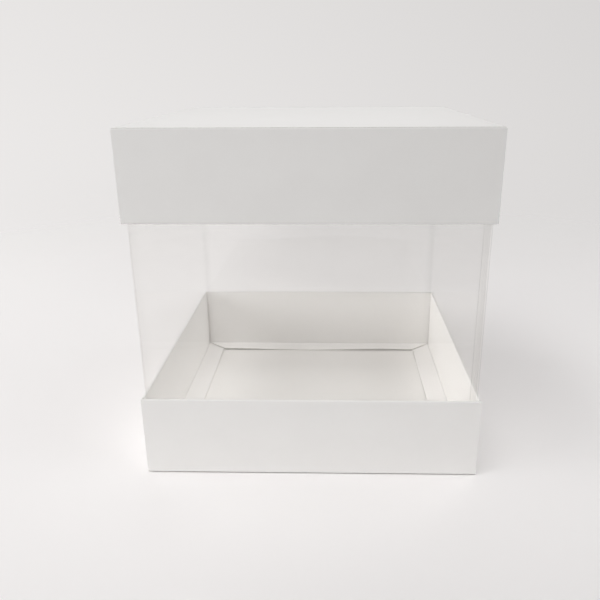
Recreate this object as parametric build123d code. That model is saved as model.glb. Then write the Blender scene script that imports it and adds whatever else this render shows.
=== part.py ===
from build123d import *

import os

# A square favor box: a folded board tray, a lid folded the same way and turned over, and a sleeve of
# clear film that stands inside both. Every sheet is divided at its creases into flat panels.
# Millimetres, +Z up, front towards -Y, with the origin at the centre of the tray's underside.

# The sleeve's outside size, its film, and the flap that is glued inside its front right corner
sleeve_width = 146.7
sleeve_depth = 146.7
sleeve_height = 150.8
film = 0.3
seam_flap_width = 12.0
seam_flap_taper = 4.0

# The board of the tray and the lid, and how high their walls stand
board = 0.45
tray_height = 37.2
lid_height = 37.2

# The flanges at the feet of the inner walls, which lie on the floor, and the tabs tucked into the corners
flange_width = 11.5
tab_length = 30.0
tab_taper = 3.0

# Clearances: a tab between the two layers of a wall, the sleeve inside the inner walls, the sleeve's cut
# edges over the flanges, the ends of panels at a corner, the mitred ends of flanges, and a tab's edges
tab_clearance = 0.05
sleeve_clearance = 0.25
seat_clearance = 0.3
corner_clearance = 0.2
mitre_clearance = 0.6
tab_edge_clearance = 0.4

# The outside radius of a crease, and the most of a sheet's thickness that it may take
board_crease_radius = 0.34
film_crease_radius = 0.22
most_rounded = 0.9

wall_gap = board + tab_clearance
wall_thickness = 2 * board + wall_gap
box_width = sleeve_width + 2 * (sleeve_clearance + wall_thickness)
box_depth = sleeve_depth + 2 * (sleeve_clearance + wall_thickness)
flange_crease = 2 * board
sleeve_bottom = flange_crease + seat_clearance
box_height = sleeve_height + 2 * sleeve_bottom

# Each side is drawn as the front and turned about Z. The front and back run the full width of the box,
# and the left and right stand between them.
turns = {"front": 0, "right": 90, "back": 180, "left": 270}
through_sides = ("front", "back")

# The wall that each corner tab hangs on, and the end of it, as seen when that wall is drawn as the front
tab_places = {
    "front_right": ("right", -1),
    "back_right": ("right", 1),
    "back_left": ("left", -1),
    "front_left": ("left", 1),
}


def plate(x_range, y_range, z_range):
    """A flat panel that fills the three ranges."""
    ranges = (x_range, y_range, z_range)
    middle = [(low + high) / 2 for low, high in ranges]
    size = [high - low for low, high in ranges]
    return Pos(*middle) * Box(*size)


def centred(length):
    """The range of a length that is centred on the side."""
    return -length / 2, length / 2


def side_lengths(side):
    """How far a side's outer face stands from the middle, and the box's outside length along that side."""
    if side in through_sides:
        return box_depth / 2, box_width
    return box_width / 2, box_depth


def crease_radius(radius, sheet):
    """The outside radius of a crease, limited by the thickness of the sheet."""
    return min(radius, most_rounded * sheet)


def floor_panel():
    """The floor, rounded underneath where the walls fold up."""
    floor = plate(centred(box_width), centred(box_depth), (0, board))
    return fillet(floor.faces().sort_by(Axis.Z)[0].edges(), crease_radius(board_crease_radius, board))


def outer_wall(side, height):
    """The outer layer of a wall, from the floor to the rim."""
    reach, length = side_lengths(side)
    if side not in through_sides:
        length -= 2 * board
    return plate(centred(length), (-reach, -reach + board), (board, height - board))


def rim(side, height):
    """The narrow strip where a wall rolls over, rounded along both folds."""
    reach, length = side_lengths(side)
    if side not in through_sides:
        length -= 2 * (wall_thickness + corner_clearance)
    strip = plate(centred(length), (-reach, -reach + wall_thickness), (height - board, height))
    folds = strip.faces().sort_by(Axis.Z)[-1].edges().filter_by(Axis.X)
    return fillet(folds, crease_radius(board_crease_radius, board))


def inner_wall(side, height):
    """The inner layer of a wall, from the rim down to the crease of its flange."""
    reach, length = side_lengths(side)
    if side in through_sides:
        length -= 2 * (board + corner_clearance)
    else:
        length -= 2 * (wall_thickness + corner_clearance)
    inner_face = -reach + wall_thickness
    return plate(centred(length), (inner_face - board, inner_face), (flange_crease, height - board))


def flange(side):
    """The mitred flange that lies on the floor, with the round heel of its crease under the inner wall."""
    reach, length = side_lengths(side)
    foot = -reach + wall_thickness
    half_foot = length / 2 - wall_thickness - mitre_clearance
    half_edge = half_foot - flange_width
    outline = Polygon(
        (-half_foot, foot),
        (half_foot, foot),
        (half_edge, foot + flange_width),
        (-half_edge, foot + flange_width),
        align=None,
    )
    lying = Pos(0, 0, board) * extrude(outline, amount=board, dir=(0, 0, 1))
    bend = CenterArc((foot, flange_crease), board, 180, 90)
    edges = [
        Line((foot, flange_crease), bend @ 0),
        bend,
        Line(bend @ 1, (foot, flange_crease)),
    ]
    heel = extrude(Plane.YZ * make_face(edges), amount=half_foot, both=True)
    return lying + heel


def corner_tab(side, end, height):
    """The tab at one end (-1 or 1) of a left or right wall, folded in against the front or back wall."""
    reach, length = side_lengths(side)
    fold = -reach + board
    low = board + tab_edge_clearance
    high = height - board - tab_edge_clearance
    outline = Polygon(
        (fold, low),
        (fold + tab_length, low + tab_taper),
        (fold + tab_length, high - tab_taper),
        (fold, high),
        align=None,
    )
    outer_face = end * (length / 2 - board)
    tab = extrude(Plane.YZ * outline, amount=board, dir=(-end, 0, 0))
    return Pos(outer_face, 0, 0) * tab


def folded_board(height):
    """All the panels of one folded board sheet, standing open side up, by name."""
    panels = {}
    for side, turn in turns.items():
        panels[f"{side}_outer_wall"] = Rot(0, 0, turn) * outer_wall(side, height)
        panels[f"{side}_rim"] = Rot(0, 0, turn) * rim(side, height)
        panels[f"{side}_inner_wall"] = Rot(0, 0, turn) * inner_wall(side, height)
        panels[f"{side}_flange"] = Rot(0, 0, turn) * flange(side)
    for corner, (side, end) in tab_places.items():
        panels[f"{corner}_tab"] = Rot(0, 0, turns[side]) * corner_tab(side, end, height)
    return panels


def tray():
    """The tray's panels: the floor and the walls that fold up from it."""
    panels = {f"tray_{name}": panel for name, panel in folded_board(tray_height).items()}
    panels["tray_floor"] = floor_panel()
    return panels


def lid():
    """The lid's panels: the tray's turned over, with the floor as its top."""
    upright = folded_board(lid_height)
    upright["top"] = floor_panel()
    raise_to_top = Pos(0, 0, box_height)
    return {f"lid_{name}": raise_to_top * mirror(panel, Plane.XY) for name, panel in upright.items()}


def sleeve_panel(side):
    """One upright panel of the sleeve; the front and back are rounded at the corner creases."""
    across = side in through_sides
    reach = (sleeve_depth if across else sleeve_width) / 2
    length = sleeve_width if across else sleeve_depth - 2 * film
    panel = plate(centred(length), (-reach, -reach + film), (sleeve_bottom, sleeve_bottom + sleeve_height))
    if across:
        creases = panel.faces().sort_by(Axis.Y)[0].edges().filter_by(Axis.Z)
        panel = fillet(creases, crease_radius(film_crease_radius, film))
    return Rot(0, 0, turns[side]) * panel


def seam_flap():
    """The flap on the front panel's right edge, folded back and glued inside the right panel."""
    fold = -sleeve_depth / 2 + film
    top = sleeve_bottom + sleeve_height
    outline = Polygon(
        (fold, sleeve_bottom),
        (fold + seam_flap_width, sleeve_bottom + seam_flap_taper),
        (fold + seam_flap_width, top - seam_flap_taper),
        (fold, top),
        align=None,
    )
    return Pos(sleeve_width / 2 - film, 0, 0) * extrude(Plane.YZ * outline, amount=film, dir=(-1, 0, 0))


def sleeve():
    """The sleeve's four panels and its seam flap."""
    panels = {f"sleeve_{side}_panel": sleeve_panel(side) for side in turns}
    panels["sleeve_seam_flap"] = seam_flap()
    return panels


os.makedirs("parts", exist_ok=True)
for name, panel in {**tray(), **sleeve(), **lid()}.items():
    export_step(panel, f"parts/{name}.step")
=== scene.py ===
import math

import bmesh
import bpy
import numpy as np
from mathutils import Matrix, Vector


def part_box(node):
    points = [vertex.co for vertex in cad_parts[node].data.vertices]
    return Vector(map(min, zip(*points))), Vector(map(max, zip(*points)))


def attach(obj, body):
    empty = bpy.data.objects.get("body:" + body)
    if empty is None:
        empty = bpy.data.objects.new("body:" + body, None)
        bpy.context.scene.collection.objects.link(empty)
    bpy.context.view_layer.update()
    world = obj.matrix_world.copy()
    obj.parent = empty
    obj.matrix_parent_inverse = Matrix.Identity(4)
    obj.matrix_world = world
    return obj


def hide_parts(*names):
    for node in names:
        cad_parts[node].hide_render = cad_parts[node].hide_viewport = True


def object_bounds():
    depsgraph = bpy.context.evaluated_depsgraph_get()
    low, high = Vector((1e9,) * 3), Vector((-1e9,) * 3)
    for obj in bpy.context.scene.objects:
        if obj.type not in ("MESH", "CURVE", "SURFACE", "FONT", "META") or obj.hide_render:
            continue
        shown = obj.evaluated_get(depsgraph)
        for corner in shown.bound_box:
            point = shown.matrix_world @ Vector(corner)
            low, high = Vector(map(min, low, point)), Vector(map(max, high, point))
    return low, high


# A square favor box: a folded white board tray, a matching lid and a sleeve of clear film.
# Metres, +Z up, front towards -Y, as in the frame.

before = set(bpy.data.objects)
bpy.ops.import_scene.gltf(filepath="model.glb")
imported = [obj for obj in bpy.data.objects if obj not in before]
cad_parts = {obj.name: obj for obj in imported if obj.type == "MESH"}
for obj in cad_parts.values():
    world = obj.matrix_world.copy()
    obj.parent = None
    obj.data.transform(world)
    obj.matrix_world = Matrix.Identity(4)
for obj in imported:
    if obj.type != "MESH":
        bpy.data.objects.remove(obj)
cad_low, cad_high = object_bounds()
MM = 0.001

# Sizes of the folded boards, read from the frame. "out" is the distance from the middle of the box
# to a face of a wall, and heights count up from the outside of the tray's floor.
floor_low, floor_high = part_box("tray_floor")
rim_low, rim_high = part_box("tray_front_rim")
foot_low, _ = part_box("tray_front_inner_wall")
_, flange_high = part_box("tray_front_flange")
BOARD = floor_high.z - floor_low.z
WALL_OUT = -rim_low.y
WALL_THICKNESS = rim_high.y - rim_low.y
WALL_TOP = rim_high.z
INNER_OUT = WALL_OUT - WALL_THICKNESS
FLANGE_CREASE = foot_low.z
FLANGE_WIDTH = INNER_OUT + flange_high.y
BOX_TOP = cad_high.z

# Sizes of the film sleeve
panel_low, panel_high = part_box("sleeve_front_panel")
_, flap_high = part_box("sleeve_seam_flap")
FILM = panel_high.y - panel_low.y
SLEEVE_OUT = panel_high.x
SLEEVE_FOOT = panel_low.z
SLEEVE_HEAD = panel_high.z
FLAP_END = flap_high.y
FLAP_TAPER = 4.0 * MM

# How the boards fold: outside radii of the creases, the roundness of a wall's end over its tab, the air in
# a flange's crease, and how far from a crease the board is still rubbed
FLOOR_CREASE = 0.62 * MM
RIM_CREASE = 0.55 * MM
WALL_END_ROUND = 0.40 * MM
HEEL_GAP = 0.02 * MM
# FOLD_REACH also sets how far the painted shade along the film's folds reaches
FOLD_REACH = 0.9 * MM

# How finely the sheets are divided: round a crease, up and across the panels, and along them. The first and
# last columns of a wall stand close to its ends, and a point beside each crease keeps the panel flat.
FOLD_STEPS = 6
WALL_STEPS = 14
RIM_STEPS = 3
FLANGE_STEPS = 10
FLOOR_STEPS = 24
FLAP_STEPS = 6
FILM_STEPS = 40
WALL_COLUMNS = 31
FLANGE_COLUMNS = 41
FLOOR_COLUMNS = 25
FILM_COLUMNS = 41
END_COLUMNS = np.array((0.0, 0.03, 0.12, 0.25, 0.42)) * MM
END_INSET = 2.0 * MM
SUPPORT = 0.35 * MM
SHARP_ANGLE = math.radians(40)

# How far the boards stray from flat. A flange's free edge waves along its length, each side's from another
# place in the wave.
WALL_BOW = 0.30 * MM
FLANGE_LIFT = 0.9 * MM
FLANGE_CURL = 1.6
FLANGE_UNEVENNESS = 0.48
FLANGE_WAVE = 3.7
FLANGE_PHASES = {"front": 0.4, "right": 1.3, "back": 2.6, "left": 3.8}

# How much the two ends of the front and back inner walls are cut back below the rim, and how far down the
# cut begins and reaches its full depth
END_RELIEFS = (0.9 * MM, 1.8 * MM)
RELIEF_START = 4.0 * MM
RELIEF_FULL = 10.0 * MM

# How the film folds and waves: how deep where it is free and where the boards hold it, the even share of
# the wave, and its ripples. A ripple has its share, and its pace across, up and from panel to panel.
FILM_CREASE = 0.75 * MM
GLUE_LINE = 0.02 * MM
# The seam's cut edge counts as partly folded, which gives it some of the film's painted fold shade
SEAM_EDGE_FOLD = 0.3
FILM_WAVE = 0.55 * MM
FILM_WAVE_HELD = 0.10 * MM
FILM_SWELL = 0.5
FILM_RIPPLES = ((0.3, 38.0, 4.1, 1.7), (0.2, 71.0, -7.3, 2.9))

# The board's colours: its coated face, its plain back and its cut core, each mottled between two, the
# fibres in its face, and its rubbed folds
FACE_COLOURS = ((0.872, 0.860, 0.845, 1.0), (0.884, 0.873, 0.858, 1.0))
BACK_COLOURS = ((0.850, 0.836, 0.812, 1.0), (0.872, 0.858, 0.836, 1.0))
CORE_COLOURS = ((0.70, 0.68, 0.645, 1.0), (0.79, 0.775, 0.745, 1.0))
FIBRE_COLOUR = (0.860, 0.848, 0.830, 1.0)
RUBBED_COLOUR = (0.86, 0.853, 0.842, 1.0)

# The board's textures, in features to the metre, and how deep its surface is
BOARD_CLOUDS = 70.0
BOARD_FIBRES = 900.0
FIBRE_STRETCH = (1.0, 4.0, 4.0)
BOARD_GRAIN = 2600.0
BOARD_RUBBING = 420.0
BOARD_RELIEF = 0.03 * MM

# The film's colours: what it lets through, and its shine where it is flat, and the darker shine of the
# painted shade where it is folded and cut
CLEAR_COLOUR = (0.996, 0.995, 0.993, 1.0)
SHINE_COLOUR = (0.96, 0.955, 0.95, 1.0)
FOLD_PAINTED_SHADE_COLOUR = (0.62, 0.605, 0.59, 1.0)
CUT_EDGE_PAINTED_SHADE_COLOUR = (0.45, 0.435, 0.42, 1.0)

# The film's smears and scuffs, in features to the metre, and how deep the smears are
FILM_SMEARS = 45.0
SMEAR_STRETCH = (1.0, 1.0, 0.35)
FILM_SCUFFS = 260.0
SCUFF_STRETCH = (1.0, 1.0, 9.0)
SMEAR_RELIEF = 0.02 * MM

# How much of the light the film mirrors: seen square on, what a slant adds, how sharply that sets in, and
# the share that is left where two layers are glued
FILM_MIRROR = 0.049
FILM_SLANT_MIRROR = 0.12
FILM_SLANT_POWER = 5.0
SEAM_MIRROR_SHARE = 0.5

# The sides, as turns of the front about Z, those that run the full width of the box, and the two folded
# sheets with their flat panels
SIDES = {"front": 0, "right": 90, "back": 180, "left": 270}
THROUGH_SIDES = ("front", "back")
SHEETS = {"tray": "tray_floor", "lid": "lid_top"}

# The camera, fitted to the photograph's 600 by 600 frame. The lens's axis meets the picture a little to the
# right of its middle and below it.
PICTURE = 600
FOCAL_PIXELS = 640.25
SENSOR = 36.0
CAMERA_PLACE = Vector((10.08, -324.44, 172.63)) * MM
CAMERA_PITCH = math.radians(19.974)
CAMERA_YAW = math.radians(-1.463)
CAMERA_ROLL = math.radians(-0.301)
AXIS_RIGHT_PIXELS = 18.2
AXIS_DOWN_PIXELS = 5.2
NEAREST_SEEN = 10.0 * MM

# The light: a pale background, a dim even room, softboxes round the box, weak fill lights from two sides
# and from above for the inside of the tray, and one for the floor on the left. A softbox has its place, its
# width and height, and its power in watts. The low one on the left shows in no reflection.
BACKGROUND = (0.755, 0.738, 0.730, 1.0)
BACKGROUND_SLOPE = 0.19
BACKGROUND_FALL = 0.17
ROOM_LIGHT = 0.12
SOFTBOX_TARGET = (0.0, 0.0, 0.05)
SOFTBOXES = {
    "left": ((-0.95, -0.10, 0.36), (1.2, 0.4), 5.7),
    "right": ((0.90, 0.00, 0.50), (1.2, 0.6), 4.8),
    "front": ((-0.20, -0.95, 0.15), (0.8, 0.2), 1.15),
    "front_left": ((-0.65, -0.75, 0.30), (0.6, 0.3), 0.65),
    "back": ((-0.10, 1.10, 0.90), (0.9, 0.4), 3.0),
    "top": ((-0.20, -0.50, 1.10), (0.9, 0.7), 5.5),
}
UNMIRRORED_SOFTBOX = "left"
WALL_FILL_POWERS = {"right": 0.15, "left": 0.62}
WALL_FILL_HEIGHT = 0.10
TOP_FILL_POWER = 0.54
TRAY_FILL_DISTANCE = 0.50
TRAY_FILL_TARGET = (0.0, 0.0, WALL_TOP / 2)
FLOOR_FILL_POWER = 0.24
FLOOR_FILL_PLACE = (-0.30, 0.28, 0.50)
FLOOR_FILL_TARGET = (-0.18, 0.18, 0.0)
FILL_COLOUR = (1.0, 0.97, 0.945)
FILL_SIZE = (0.4, 0.2)

# How far from the box the floor has half faded into the background and how sharply it fades, how far it
# reaches, how far it lies below the tray, and where before the box a painted shadow starts and is darkest
FLOOR_FADE = 0.42
FLOOR_FADE_POWER = 4.0
FLOOR_RADIUS = 6.0
FLOOR_CORNERS = 64
FLOOR_GAP = 0.25 * MM
PAINTED_SHADOW_START = -0.075
PAINTED_SHADOW_END = -0.170

# The floor's colours, mottled between two, the darker colour of the shadow painted on it in front of the
# box, and its textures, in features to the metre
FLOOR_COLOURS = ((0.950, 0.929, 0.925, 1.0), (0.965, 0.945, 0.940, 1.0))
PAINTED_SHADOW_COLOUR = (0.905, 0.885, 0.880, 1.0)
FLOOR_CLOUDS = 3.0
FLOOR_TOOTH = 500.0
FLOOR_RELIEF = 0.05 * MM

# A dark card that lies on the floor in front of the box, on the right, and shows only in the film
CARD_LEFT = -0.08
CARD_RIGHT = 0.80
CARD_NEAR = -0.31
CARD_FAR = -1.20
CARD_EDGE = 0.045
CARD_HEIGHT = 1.0 * MM
CARD_COLOUR = (0.05, 0.048, 0.046, 1.0)
CARD_MOTTLE = 9.0


# Nodes of materials, written as expressions

class Field:
    """A socket in a node tree. Arithmetic on fields and numbers adds Math nodes."""

    def __init__(self, tree, socket=None):
        self.tree = tree
        self.socket = socket

    def add(self, kind, settings=None, sockets=None, output=0):
        """Adds a node: its settings first, then the values or links of its sockets."""
        node = self.tree.nodes.new("ShaderNode" + kind)
        for name, value in (settings or {}).items():
            setattr(node, name, value)
        for name, value in (sockets or {}).items():
            if isinstance(value, Field):
                self.tree.links.new(value.socket, node.inputs[name])
            else:
                node.inputs[name].default_value = value
        return Field(self.tree, node.outputs[output])

    def maths(self, operation, first, second):
        return self.add("Math", {"operation": operation}, {0: first, 1: second})

    def __add__(self, other):
        return self.maths("ADD", self, other)

    def __radd__(self, other):
        return self.maths("ADD", other, self)

    def __sub__(self, other):
        return self.maths("SUBTRACT", self, other)

    def __rsub__(self, other):
        return self.maths("SUBTRACT", other, self)

    def __mul__(self, other):
        return self.maths("MULTIPLY", self, other)

    def __rmul__(self, other):
        return self.maths("MULTIPLY", other, self)

    def __truediv__(self, other):
        return self.maths("DIVIDE", self, other)

    def __pow__(self, other):
        return self.maths("POWER", self, other)

    def blend(self, first, second):
        """A colour that goes from first to second as this field goes from 0 to 1."""
        return self.add("Mix", {"data_type": "RGBA"}, {0: self, 6: first, 7: second}, output=2)

    def step(self, low, high):
        """0 below low and 1 above high, smooth in between."""
        return self.add(
            "MapRange",
            {"interpolation_type": "SMOOTHSTEP"},
            {"Value": self, "From Min": low, "From Max": high},
        )

    def noise(self, place, scale, detail=2.0, roughness=0.5):
        """Cloudy noise about 0.5, with features about 1 / scale across."""
        return self.add(
            "TexNoise",
            None,
            {"Vector": place, "Scale": scale, "Detail": detail, "Roughness": roughness},
        )

    def stretched(self, place, factors):
        """Coordinates multiplied along each axis."""
        return self.add("VectorMath", {"operation": "MULTIPLY"}, {0: place, 1: factors})

    def attribute(self, name):
        """A number kept on the mesh."""
        return self.add("Attribute", {"attribute_name": name}, None, "Fac")

    def bump(self, height, depth, strength):
        """A normal raised by a height of 0 to 1, depth metres deep."""
        return self.add("Bump", None, {"Height": height, "Distance": depth, "Strength": strength}, "Normal")


def new_material(name):
    """An empty material, and a field to write its nodes with."""
    material = bpy.data.materials.new(name)
    material.use_nodes = True
    material.node_tree.nodes.clear()
    return material, Field(material.node_tree)


def set_surface(material, shader):
    output = material.node_tree.nodes.new("ShaderNodeOutputMaterial")
    material.node_tree.links.new(shader.socket, output.inputs["Surface"])


def white_board():
    """Coated folding board: satin white outside, plainer and warmer on its back, and fibrous where cut."""
    material, field = new_material("white_board")
    place = field.add("TexCoord", output="Object")
    back = field.attribute("plain_back")
    cut = field.attribute("cut_edge")
    fold = field.attribute("fold")

    clouds = field.noise(place, BOARD_CLOUDS, detail=3.0)
    fibres = field.noise(field.stretched(place, FIBRE_STRETCH), BOARD_FIBRES, detail=3.0, roughness=0.6)
    grain = field.noise(place, BOARD_GRAIN)
    rubbed = fold * field.noise(place, BOARD_RUBBING).step(0.42, 0.62)

    face = clouds.step(0.3, 0.7).blend(*FACE_COLOURS)
    face = (fibres.step(0.35, 0.7) * 0.35).blend(face, FIBRE_COLOUR)
    plain = fibres.step(0.3, 0.7).blend(*BACK_COLOURS)
    core = grain.step(0.35, 0.65).blend(*CORE_COLOURS)
    colour = back.blend(face, plain)
    colour = cut.blend(colour, core)
    colour = (rubbed * 0.5).blend(colour, RUBBED_COLOUR)

    satin = 0.40 + clouds * 0.10 + fibres * 0.08
    roughness = satin + back * 0.22 + cut * 0.30 + rubbed * 0.15
    height = grain * 0.35 + fibres * 0.45 + rubbed * 0.5
    normal = field.bump(height, BOARD_RELIEF, strength=0.5)
    shader = field.add(
        "BsdfPrincipled",
        None,
        {
            "Base Color": colour,
            "Roughness": roughness,
            "Normal": normal,
            "IOR": 1.45,
            "Specular IOR Level": 0.4,
        },
        "BSDF",
    )
    set_surface(material, shader)
    return material


def clear_film():
    """Clear plastic film: mirrors more at a slant, faintly hazed, with painted shade along its folds and
    cut edges.

    Where the seam's flap is glued on, the two layers mirror as one.
    """
    material, field = new_material("clear_film")
    place = field.add("TexCoord", output="Object")
    fold = field.attribute("fold")
    cut = field.attribute("cut_edge")
    facing = field.add("LayerWeight", None, {"Blend": 0.5}, "Facing")

    smears = field.noise(field.stretched(place, SMEAR_STRETCH), FILM_SMEARS, detail=3.0, roughness=0.55)
    smears = smears.step(0.45, 0.75)
    scuffs = field.noise(field.stretched(place, SCUFF_STRETCH), FILM_SCUFFS).step(0.62, 0.78)
    # Real haze from smears and scuffs, plus painted shade along folds and cut edges, which mixes in the
    # darker shine
    haze_and_painted_shade = 0.003 + smears * 0.007 + scuffs * 0.005 + fold * 0.012 + cut * 0.14
    across = field.add("SeparateXYZ", None, {0: place}, "X")
    ahead = field.add("SeparateXYZ", None, {0: place}, "Y")
    seam = across.step(SLEEVE_OUT - 3 * FILM, SLEEVE_OUT - 2 * FILM)
    seam = seam * (1.0 - ahead.step(FLAP_END, FLAP_END + FILM))
    mirror = FILM_MIRROR + FILM_SLANT_MIRROR * facing**FILM_SLANT_POWER
    mirror = mirror * (1.0 - (1.0 - SEAM_MIRROR_SHARE) * seam)
    # Painted shade: the shine turns dark grey along the folds and cut edges
    colour = fold.blend(SHINE_COLOUR, FOLD_PAINTED_SHADE_COLOUR)
    colour = cut.blend(colour, CUT_EDGE_PAINTED_SHADE_COLOUR)
    roughness = 0.045 + smears * 0.05 + fold * 0.15 + cut * 0.2
    normal = field.bump(smears, SMEAR_RELIEF, strength=0.25)
    clear = field.add("BsdfTransparent", None, {"Color": CLEAR_COLOUR}, "BSDF")
    shine = field.add(
        "BsdfPrincipled",
        None,
        {
            "Base Color": colour,
            "Metallic": 0.85,
            "Roughness": roughness,
            "Normal": normal,
        },
        "BSDF",
    )
    shader = field.add("MixShader", None, {0: mirror + haze_and_painted_shade, 1: clear, 2: shine}, "Shader")
    set_surface(material, shader)
    return material


def pale_paper():
    """The floor: pale matte paper, with a painted shadow towards the front, that fades into the background
    far away.
    """
    material, field = new_material("pale_paper")
    place = field.add("TexCoord", output="Object")
    distance = field.add("VectorMath", {"operation": "LENGTH"}, {0: place}, "Value")
    back = field.add("SeparateXYZ", None, {0: place}, "Y")
    tooth = field.noise(place, FLOOR_TOOTH, detail=3.0)
    clouds = field.noise(place, FLOOR_CLOUDS)
    colour = clouds.step(0.3, 0.7).blend(*FLOOR_COLOURS)
    # Painted shadow: the paper's colour darkens towards the front of the box, in place of real shade
    colour = back.step(PAINTED_SHADOW_END, PAINTED_SHADOW_START).blend(PAINTED_SHADOW_COLOUR, colour)
    paper = field.add(
        "BsdfPrincipled",
        None,
        {
            "Base Color": colour,
            "Roughness": 0.8 + tooth * 0.15,
            "Normal": field.bump(tooth, FLOOR_RELIEF, strength=0.3),
            "Specular IOR Level": 0.2,
        },
        "BSDF",
    )
    clear = field.add("BsdfTransparent", output="BSDF")
    far = distance**FLOOR_FADE_POWER
    faded = far / (far + FLOOR_FADE**FLOOR_FADE_POWER)
    shader = field.add("MixShader", None, {0: faded, 1: paper, 2: clear}, "Shader")
    set_surface(material, shader)
    return material


def dark_card():
    """Dark card with soft edges on the sides that the film mirrors."""
    material, field = new_material("dark_card")
    place = field.add("TexCoord", output="Object")
    across = field.add("SeparateXYZ", None, {0: place}, "X")
    ahead = field.add("SeparateXYZ", None, {0: place}, "Y")
    mottle = field.noise(place, CARD_MOTTLE) * CARD_EDGE
    inside = (across + mottle).step(CARD_LEFT, CARD_LEFT + 2 * CARD_EDGE)
    inside = inside * (1.0 - (ahead + mottle).step(CARD_NEAR - CARD_EDGE, CARD_NEAR + CARD_EDGE))
    dark = field.add("BsdfDiffuse", None, {"Color": CARD_COLOUR}, "BSDF")
    clear = field.add("BsdfTransparent", output="BSDF")
    shader = field.add("MixShader", None, {0: inside, 1: clear, 2: dark}, "Shader")
    set_surface(material, shader)
    return material


# Sheets, drawn as the line that the middle of the sheet follows

class Line:
    """The middle line of a folded sheet in one plane, with its face normals and how folded it is."""

    def __init__(self):
        self.points = []
        self.normals = []
        self.folds = []

    def put(self, point, normal, fold):
        self.points.append(point)
        self.normals.append(normal)
        self.folds.append(fold)

    def bend(self, centre, radius, first, last, face=1):
        """A fold about a centre, between two angles. The face is outside it, or inside where face is -1."""
        for angle in np.radians(np.linspace(first, last, FOLD_STEPS + 1)):
            ray = np.array((math.cos(angle), math.sin(angle)))
            self.put(np.array(centre) + radius * ray, face * ray, 1.0)
        return self

    def run(self, start, stop, normal, steps, fold_start=True, fold_stop=True):
        """A straight run between folds, with a point close to each fold that keeps the run flat."""
        start, stop = np.array(start), np.array(stop)
        length = np.linalg.norm(stop - start)
        support = min(SUPPORT, length / 4)
        for distance in np.linspace(support, length - support, steps):
            near = min(distance if fold_start else math.inf, length - distance if fold_stop else math.inf)
            fold = math.exp(-((near / FOLD_REACH) ** 2))
            self.put(start + (stop - start) * distance / length, np.array(normal, float), fold)
        return self

    def end(self, point, normal, fold=0.0):
        """A cut end of the sheet."""
        self.put(np.array(point), np.array(normal, float), fold)
        return self

    def arrays(self):
        return np.array(self.points), np.array(self.normals), np.array(self.folds)


def sheet_mesh(name, line, along, thickness, place, pull=None, warp=None):
    """A closed sheet: a line with thickness, carried along. along holds a row of positions for each point.

    pull narrows the sheet towards its back, and warp moves its middle along the normal.
    """
    points, normals, folds = line.arrays()
    rows, columns = len(points), along.shape[1]
    middle = points[:, None, :] + np.zeros((rows, columns, 2))
    facing = normals[:, None, :] + np.zeros((rows, columns, 2))
    if warp is not None:
        middle = middle + facing * warp(points, along)[:, :, None]
    front_offset = thickness / 2 - (0.0 if pull is None else pull(along))
    front_offset = front_offset + np.zeros((rows, columns))
    skins = (
        middle + facing * front_offset[:, :, None],
        middle - facing * thickness / 2,
    )
    corners = [place(skin[:, :, 0], skin[:, :, 1], along).reshape(-1, 3) for skin in skins]
    grid = np.arange(rows * columns).reshape(rows, columns)
    quads = []
    kinds = []
    for skin, kind in ((0, "face"), (rows * columns, "back")):
        ids = grid + skin
        cells = np.stack((ids[:-1, :-1], ids[1:, :-1], ids[1:, 1:], ids[:-1, 1:]), axis=-1).reshape(-1, 4)
        quads.append(cells if kind == "face" else cells[:, ::-1])
        kinds += [kind] * len(cells)
    for edge in (grid[0], grid[-1][::-1], grid[::-1, 0], grid[:, -1]):
        behind = edge + rows * columns
        cells = np.stack((edge[:-1], edge[1:], behind[1:], behind[:-1]), axis=-1)
        quads.append(cells)
        kinds += ["cut"] * len(cells)
    mesh = bpy.data.meshes.new(name)
    mesh.from_pydata(np.concatenate(corners).tolist(), [], np.concatenate(quads).tolist())
    keep_numbers(mesh, "fold", "POINT", np.tile(np.repeat(folds, columns), 2))
    keep_numbers(mesh, "plain_back", "FACE", [kind == "back" for kind in kinds])
    keep_numbers(mesh, "cut_edge", "FACE", [kind == "cut" for kind in kinds])
    finish_mesh(mesh)
    return mesh


def keep_numbers(mesh, name, domain, values):
    """Keeps a number for each point or face on the mesh, for its material to read."""
    attribute = mesh.attributes.new(name, "FLOAT", domain)
    attribute.data.foreach_set("value", np.array(values, np.float32))


def finish_mesh(mesh):
    """Turns all faces outwards and shades the folds smooth and the cut edges sharp."""
    shaped = bmesh.new()
    shaped.from_mesh(mesh)
    bmesh.ops.recalc_face_normals(shaped, faces=shaped.faces)
    shaped.to_mesh(mesh)
    shaped.free()
    mesh.shade_smooth()
    mesh.set_sharp_from_angle(angle=SHARP_ANGLE)


def add_piece(name, mesh, material, slot, body, *nodes):
    """Puts a piece in the scene, riding on a body in place of its nodes."""
    mesh.materials.append(material)
    piece = bpy.data.objects.new(name, mesh)
    bpy.context.scene.collection.objects.link(piece)
    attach(piece, body)
    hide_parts(*nodes)
    return piece


# The folded boards

def on_side(sheet, side):
    """Places a sheet drawn as the front of the tray: out from the middle, up from the floor, and along."""
    turn = math.radians(SIDES[side])
    cosine, sine = math.cos(turn), math.sin(turn)

    def place(out, up, along):
        x = along * cosine + out * sine
        y = along * sine - out * cosine
        z = up if sheet == "tray" else BOX_TOP - up
        return np.stack(np.broadcast_arrays(x, y, z), axis=-1)

    return place


def half_length(node, side):
    """Half of a node's length along its side."""
    low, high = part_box(node)
    return (high.x - low.x) / 2 if side in THROUGH_SIDES else (high.y - low.y) / 2


def wall_along(low, high):
    """Positions along a wall, between its two ends at each point of its line, closer at the ends."""
    middle = np.linspace(low + END_INSET, high - END_INSET, WALL_COLUMNS, axis=-1)
    return np.concatenate((low[:, None] + END_COLUMNS, middle, high[:, None] - END_COLUMNS[::-1]), axis=1)


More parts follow.
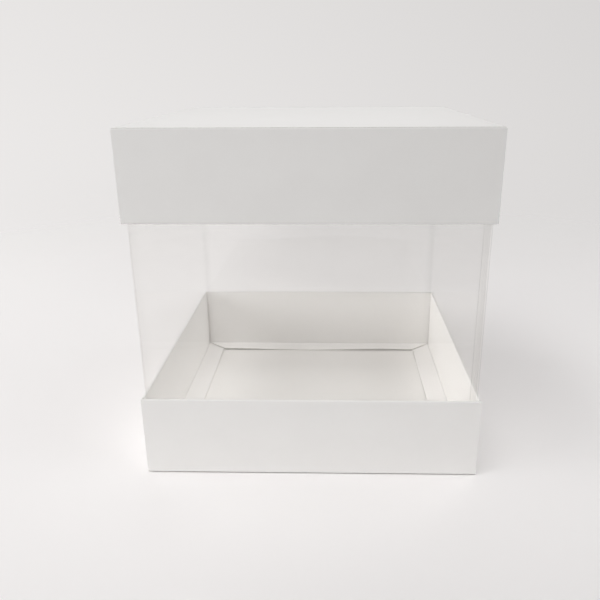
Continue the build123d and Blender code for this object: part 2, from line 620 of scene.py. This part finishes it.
def end_relief(points):
    """How far the cut in an inner wall's ends has gone at each point of its line: 0 at the rim, then 1."""
    depth = np.clip((WALL_TOP - RELIEF_START - points[:, 1]) / (RELIEF_FULL - RELIEF_START), 0.0, 1.0)
    return depth**2 * (3.0 - 2.0 * depth)


def round_end(half):
    """How much a wall's outer face draws in at its ends, where the sheet turns into a tab."""

    def pull(along):
        left = np.clip(WALL_END_ROUND - (half - np.abs(along)), 0.0, WALL_END_ROUND)
        return WALL_END_ROUND - np.sqrt(WALL_END_ROUND**2 - left**2)

    return pull


def bowed(half):
    """A wall that swells a little in the middle of its height and length."""

    def warp(points, along):
        rise = np.sin(np.pi * np.clip(points[:, 1] / WALL_TOP, 0.0, 1.0)) ** 2
        return WALL_BOW * rise[:, None] * np.cos(np.pi / 2 * along / half) ** 2

    return warp


def outer_wall_line():
    """From the middle of the floor's crease up to the middle of the rim's outer crease."""
    low = (WALL_OUT - FLOOR_CREASE, FLOOR_CREASE)
    high = (WALL_OUT - RIM_CREASE, WALL_TOP - RIM_CREASE)
    line = Line().bend(low, FLOOR_CREASE - BOARD / 2, -45, 0)
    middle = WALL_OUT - BOARD / 2
    line.run((middle, low[1]), (middle, high[1]), (1, 0), WALL_STEPS)
    return line.bend(high, RIM_CREASE - BOARD / 2, 0, 45)


def rim_line():
    """Over the rim, from crease to crease."""
    outer = (WALL_OUT - RIM_CREASE, WALL_TOP - RIM_CREASE)
    inner = (INNER_OUT + RIM_CREASE, WALL_TOP - RIM_CREASE)
    line = Line().bend(outer, RIM_CREASE - BOARD / 2, 45, 90)
    middle = WALL_TOP - BOARD / 2
    line.run((outer[0], middle), (inner[0], middle), (0, 1), RIM_STEPS)
    return line.bend(inner, RIM_CREASE - BOARD / 2, 90, 135)


def inner_wall_line():
    """From the rim's inner crease down to the crease of the flange."""
    high = (INNER_OUT + RIM_CREASE, WALL_TOP - RIM_CREASE)
    line = Line().bend(high, RIM_CREASE - BOARD / 2, 135, 180)
    middle = INNER_OUT + BOARD / 2
    line.run((middle, high[1]), (middle, FLANGE_CREASE), (-1, 0), WALL_STEPS)
    return line.end((middle, FLANGE_CREASE), (-1, 0), 1.0)


def flange_line():
    """Round the crease at the inner wall's foot, and out over the floor."""
    crease = (INNER_OUT, FLANGE_CREASE)
    line = Line().bend(crease, BOARD / 2 + HEEL_GAP, 0, -90, face=-1)
    level = FLANGE_CREASE - BOARD / 2 - HEEL_GAP
    free = INNER_OUT - FLANGE_WIDTH
    line.run((INNER_OUT, level), (free, level), (0, 1), FLANGE_STEPS, fold_stop=False)
    return line.end((free, level), (0, 1))


def flange_lift(side):
    """A flange's free edge stands off the floor, more in some places than in others."""

    def warp(points, along):
        reach = np.clip((INNER_OUT - points[:, 0]) / FLANGE_WIDTH, 0.0, 1.0)
        share = along / (INNER_OUT - FLANGE_WIDTH)
        wave = np.cos(FLANGE_WAVE * share + FLANGE_PHASES[side])
        uneven = 1.0 - FLANGE_UNEVENNESS + FLANGE_UNEVENNESS * wave
        return FLANGE_LIFT * (reach**FLANGE_CURL)[:, None] * uneven

    return warp


def add_wall(sheet, side, material):
    """A side of the tray or lid: outer wall, rim and inner wall."""
    place = on_side(sheet, side)
    lines = {"outer_wall": outer_wall_line(), "rim": rim_line(), "inner_wall": inner_wall_line()}
    for panel, line in lines.items():
        node = f"{sheet}_{side}_{panel}"
        half = half_length(node, side)
        ends = np.full(len(line.points), half)
        reliefs = (0.0, 0.0)
        if panel == "inner_wall" and side in THROUGH_SIDES:
            reliefs = [relief * end_relief(np.array(line.points)) for relief in END_RELIEFS]
        along = wall_along(reliefs[0] - ends, ends - reliefs[1])
        turned_in = panel == "outer_wall" and side not in THROUGH_SIDES
        mesh = sheet_mesh(
            f"{node}_board",
            line,
            along,
            BOARD,
            place,
            pull=round_end(half) if turned_in else None,
            warp=bowed(half) if panel == "outer_wall" else None,
        )
        add_piece(f"{node}_board", mesh, material, "white_board", sheet, node)


def add_flange(sheet, side, material):
    """A mitred flange at the foot of an inner wall."""
    node = f"{sheet}_{side}_flange"
    line = flange_line()
    foot = half_length(node, side)
    reach = np.array([max(0.0, INNER_OUT - point[0]) for point in line.points])
    along = np.linspace(-1.0, 1.0, FLANGE_COLUMNS)[None, :] * (foot - reach)[:, None]
    mesh = sheet_mesh(f"{node}_board", line, along, BOARD, on_side(sheet, side), warp=flange_lift(side))
    add_piece(f"{node}_board", mesh, material, "white_board", node, node)


def floor_line():
    """Across the floor, from the middle of one crease to the middle of the other."""
    inside = WALL_OUT - FLOOR_CREASE
    line = Line().bend((-inside, FLOOR_CREASE), FLOOR_CREASE - BOARD / 2, 225, 270)
    middle = BOARD / 2
    line.run((-inside, middle), (inside, middle), (0, -1), FLOOR_STEPS)
    return line.bend((inside, FLOOR_CREASE), FLOOR_CREASE - BOARD / 2, 270, 315)


def add_flat(sheet, node, material):
    """The tray's floor or the lid's top."""
    line = floor_line()
    half = WALL_OUT - FLOOR_CREASE
    along = np.tile(np.linspace(-half, half, FLOOR_COLUMNS), (len(line.points), 1))

    def place(across, up, along):
        z = up if sheet == "tray" else BOX_TOP - up
        return np.stack(np.broadcast_arrays(across, along, z), axis=-1)

    mesh = sheet_mesh(f"{node}_board", line, along, BOARD, place)
    add_piece(f"{node}_board", mesh, material, "white_board", sheet, node)


def add_boards(material):
    """All the panels of the tray and the lid. The tucked tabs keep the frame's own shapes."""
    for sheet, flat in SHEETS.items():
        add_flat(sheet, flat, material)
        for side in SIDES:
            add_wall(sheet, side, material)
            add_flange(sheet, side, material)
    for name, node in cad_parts.items():
        if name.endswith("_tab"):
            node.data.materials.clear()
            node.data.materials.append(material)


# The film sleeve

def sleeve_line():
    """Round the sleeve from the flap's free edge, by front, left and back, to the right panel's edge."""
    middle = SLEEVE_OUT - FILM / 2
    radius = FILM_CREASE - FILM / 2
    turn = middle - radius
    flap = middle - FILM - GLUE_LINE
    line = Line().end((flap, FLAP_END), (1, 0))
    line.run((flap, FLAP_END), (flap, -turn), (1, 0), FLAP_STEPS, fold_start=False)
    line.bend((flap - radius, -turn), radius, 0, -90)
    line.run((flap - radius, -middle), (-turn, -middle), (0, -1), FILM_STEPS)
    line.bend((-turn, -turn), radius, -90, -180)
    line.run((-middle, -turn), (-middle, turn), (-1, 0), FILM_STEPS)
    line.bend((-turn, turn), radius, 180, 90)
    line.run((-turn, middle), (turn, middle), (0, 1), FILM_STEPS)
    line.bend((turn, turn), radius, 90, 0)
    line.run((middle, turn), (middle, -middle), (1, 0), FILM_STEPS, fold_stop=False)
    return line.end((middle, -middle), (1, 0), SEAM_EDGE_FOLD)


def film_waves(points, along):
    """The panels of the sleeve wave a little, mostly inwards, and least where the boards hold them."""
    across = np.where(np.abs(points[:, 0]) > np.abs(points[:, 1]), points[:, 1], points[:, 0])
    panel = np.round(np.degrees(np.arctan2(points[:, 0], -points[:, 1])) / 90.0)
    free = np.cos(np.pi / 2 * np.clip(across / SLEEVE_OUT, -1.0, 1.0))
    height = (along - SLEEVE_FOOT) / (SLEEVE_HEAD - SLEEVE_FOOT)
    held = FILM_WAVE_HELD + (FILM_WAVE - FILM_WAVE_HELD) * np.sin(np.pi * height) ** 2
    swell = FILM_SWELL
    for share, by_place, by_height, by_panel in FILM_RIPPLES:
        phase = across[:, None] * by_place + height * by_height + panel[:, None] * by_panel
        swell = swell + share * np.sin(phase)
    return -held * free[:, None] * swell


def add_sleeve(material):
    """The film in one sheet, its flap tapered, which neither casts shadows nor dims what boards scatter."""
    line = sleeve_line()
    points = np.array(line.points)
    inside_flap = (points[:, 0] > SLEEVE_OUT - 2 * FILM) & (points[:, 0] < SLEEVE_OUT - FILM)
    inset = np.zeros(len(points))
    turned = inside_flap & (points[:, 1] < FLAP_END + FILM)
    inset[turned] = FLAP_TAPER * (points[turned, 1] + SLEEVE_OUT) / (FLAP_END + SLEEVE_OUT)
    share = np.linspace(0.0, 1.0, FILM_COLUMNS)[None, :]
    low = (SLEEVE_FOOT + inset)[:, None]
    high = (SLEEVE_HEAD - inset)[:, None]
    along = low + (high - low) * share

    def place(x, y, up):
        return np.stack(np.broadcast_arrays(x, y, up), axis=-1)

    mesh = sheet_mesh("sleeve_film", line, along, FILM, place, warp=film_waves)
    nodes = [f"sleeve_{side}_panel" for side in SIDES]
    sleeve = add_piece("sleeve_film", mesh, material, "clear_film", "sleeve", *nodes, "sleeve_seam_flap")
    sleeve.visible_shadow = False
    sleeve.visible_diffuse = False


# The floor, the lights and the camera

def add_floor():
    """A wide round floor. The box stands on its crease, a hair above the paper."""
    mesh = bpy.data.meshes.new("floor")
    shaped = bmesh.new()
    bmesh.ops.create_circle(shaped, cap_ends=True, segments=FLOOR_CORNERS, radius=FLOOR_RADIUS)
    shaped.to_mesh(mesh)
    shaped.free()
    mesh.materials.append(pale_paper())
    floor = bpy.data.objects.new("floor", mesh)
    floor.location.z = -FLOOR_GAP
    bpy.context.scene.collection.objects.link(floor)


def add_card():
    """The dark card, which the camera itself does not see."""
    mesh = bpy.data.meshes.new("card")
    corners = (
        (CARD_LEFT - CARD_EDGE, CARD_FAR, CARD_HEIGHT),
        (CARD_RIGHT, CARD_FAR, CARD_HEIGHT),
        (CARD_RIGHT, CARD_NEAR + CARD_EDGE, CARD_HEIGHT),
        (CARD_LEFT - CARD_EDGE, CARD_NEAR + CARD_EDGE, CARD_HEIGHT),
    )
    mesh.from_pydata(corners, [], [(0, 1, 2, 3)])
    mesh.materials.append(dark_card())
    card = bpy.data.objects.new("card", mesh)
    card.visible_camera = False
    card.visible_shadow = False
    bpy.context.scene.collection.objects.link(card)


def add_softbox(name, place, size, power, target):
    """A soft rectangular light that faces a target."""
    light = bpy.data.lights.new(name, "AREA")
    light.shape = "RECTANGLE"
    light.size, light.size_y = size
    light.energy = power
    softbox = bpy.data.objects.new(name, light)
    softbox.location = place
    softbox.rotation_euler = (Vector(target) - Vector(place)).to_track_quat("-Z", "Y").to_euler()
    bpy.context.scene.collection.objects.link(softbox)
    return softbox


def gather(name, pieces):
    """A collection of pieces, found by their names."""
    group = bpy.data.collections.new(name)
    for piece in pieces:
        group.objects.link(bpy.data.objects[piece])
    return group


def add_fill(name, place, power, target, lit):
    """Soft light on some pieces alone, which no reflection shows."""
    fill = add_softbox(f"{name}_fill", place, FILL_SIZE, power, target)
    fill.data.color = FILL_COLOUR
    fill.light_linking.receiver_collection = lit
    fill.data.cycles.use_multiple_importance_sampling = False
    fill.visible_glossy = False
    return fill


def add_tray_fills():
    """Fill light on the inside of the tray, in which only the flanges cast shadows."""
    flange_boards = [f"tray_{side}_flange_board" for side in SIDES]
    walls = gather("tray_inner_walls", [f"tray_{side}_inner_wall_board" for side in SIDES])
    flanges = gather("tray_flanges", flange_boards)
    bottom = gather("tray_bottom", ["tray_floor_board", *flange_boards])
    above = (0.0, 0.0, TRAY_FILL_DISTANCE)
    fills = [add_fill("top", above, TOP_FILL_POWER, TRAY_FILL_TARGET, bottom)]
    for side, power in WALL_FILL_POWERS.items():
        turn = math.radians(SIDES[side])
        right = TRAY_FILL_DISTANCE * math.sin(turn)
        back = -TRAY_FILL_DISTANCE * math.cos(turn)
        fills.append(add_fill(side, (right, back, WALL_FILL_HEIGHT), power, TRAY_FILL_TARGET, walls))
    for fill in fills:
        fill.light_linking.blocker_collection = flanges


def add_lights():
    for name, settings in SOFTBOXES.items():
        softbox = add_softbox(f"{name}_softbox", *settings, SOFTBOX_TARGET)
        softbox.visible_glossy = name != UNMIRRORED_SOFTBOX
    add_tray_fills()
    paper = gather("paper", ["floor"])
    add_fill("floor", FLOOR_FILL_PLACE, FLOOR_FILL_POWER, FLOOR_FILL_TARGET, paper)


def add_sky():
    """A pale room all round, lighter to the left and below, which lights the box less than it shows."""
    world = bpy.data.worlds.new("room")
    world.use_nodes = True
    world.node_tree.nodes.clear()
    field = Field(world.node_tree)
    way = field.add("TexCoord", output="Generated")
    right = field.add("SeparateXYZ", None, {0: way}, "X")
    up = field.add("SeparateXYZ", None, {0: way}, "Z")
    seen = field.add("LightPath", output="Is Camera Ray")
    seen = seen + field.add("LightPath", output="Is Glossy Ray")
    seen = seen + field.add("LightPath", output="Is Transmission Ray")
    seen = seen.step(0.0, 1.0)
    strength = ROOM_LIGHT + seen * (1.0 - ROOM_LIGHT)
    strength = strength * (1.0 - right * BACKGROUND_SLOPE - up * BACKGROUND_FALL)
    room = field.add("Background", None, {"Color": BACKGROUND, "Strength": strength}, "Background")
    output = world.node_tree.nodes.new("ShaderNodeOutputWorld")
    world.node_tree.links.new(room.socket, output.inputs["Surface"])
    bpy.context.scene.world = world


def add_camera():
    camera = bpy.data.cameras.new("camera")
    camera.sensor_width = SENSOR
    camera.lens = FOCAL_PIXELS / PICTURE * SENSOR
    camera.shift_x = -AXIS_RIGHT_PIXELS / PICTURE
    camera.shift_y = AXIS_DOWN_PIXELS / PICTURE
    camera.clip_start = NEAREST_SEEN
    ahead = Vector(
        (
            math.sin(CAMERA_YAW) * math.cos(CAMERA_PITCH),
            math.cos(CAMERA_YAW) * math.cos(CAMERA_PITCH),
            -math.sin(CAMERA_PITCH),
        )
    )
    level = Vector((math.cos(CAMERA_YAW), -math.sin(CAMERA_YAW), 0.0))
    above = level.cross(ahead)
    right = math.cos(CAMERA_ROLL) * level + math.sin(CAMERA_ROLL) * above
    up = math.cos(CAMERA_ROLL) * above - math.sin(CAMERA_ROLL) * level
    turn = Matrix((right, up, -ahead)).transposed().to_4x4()
    eye = bpy.data.objects.new("camera", camera)
    eye.matrix_world = Matrix.Translation(CAMERA_PLACE) @ turn
    bpy.context.scene.collection.objects.link(eye)
    bpy.context.scene.camera = eye


add_boards(white_board())
add_sleeve(clear_film())
add_floor()
add_card()
add_lights()
add_sky()
add_camera()
bpy.context.scene.view_settings.view_transform = "Standard"
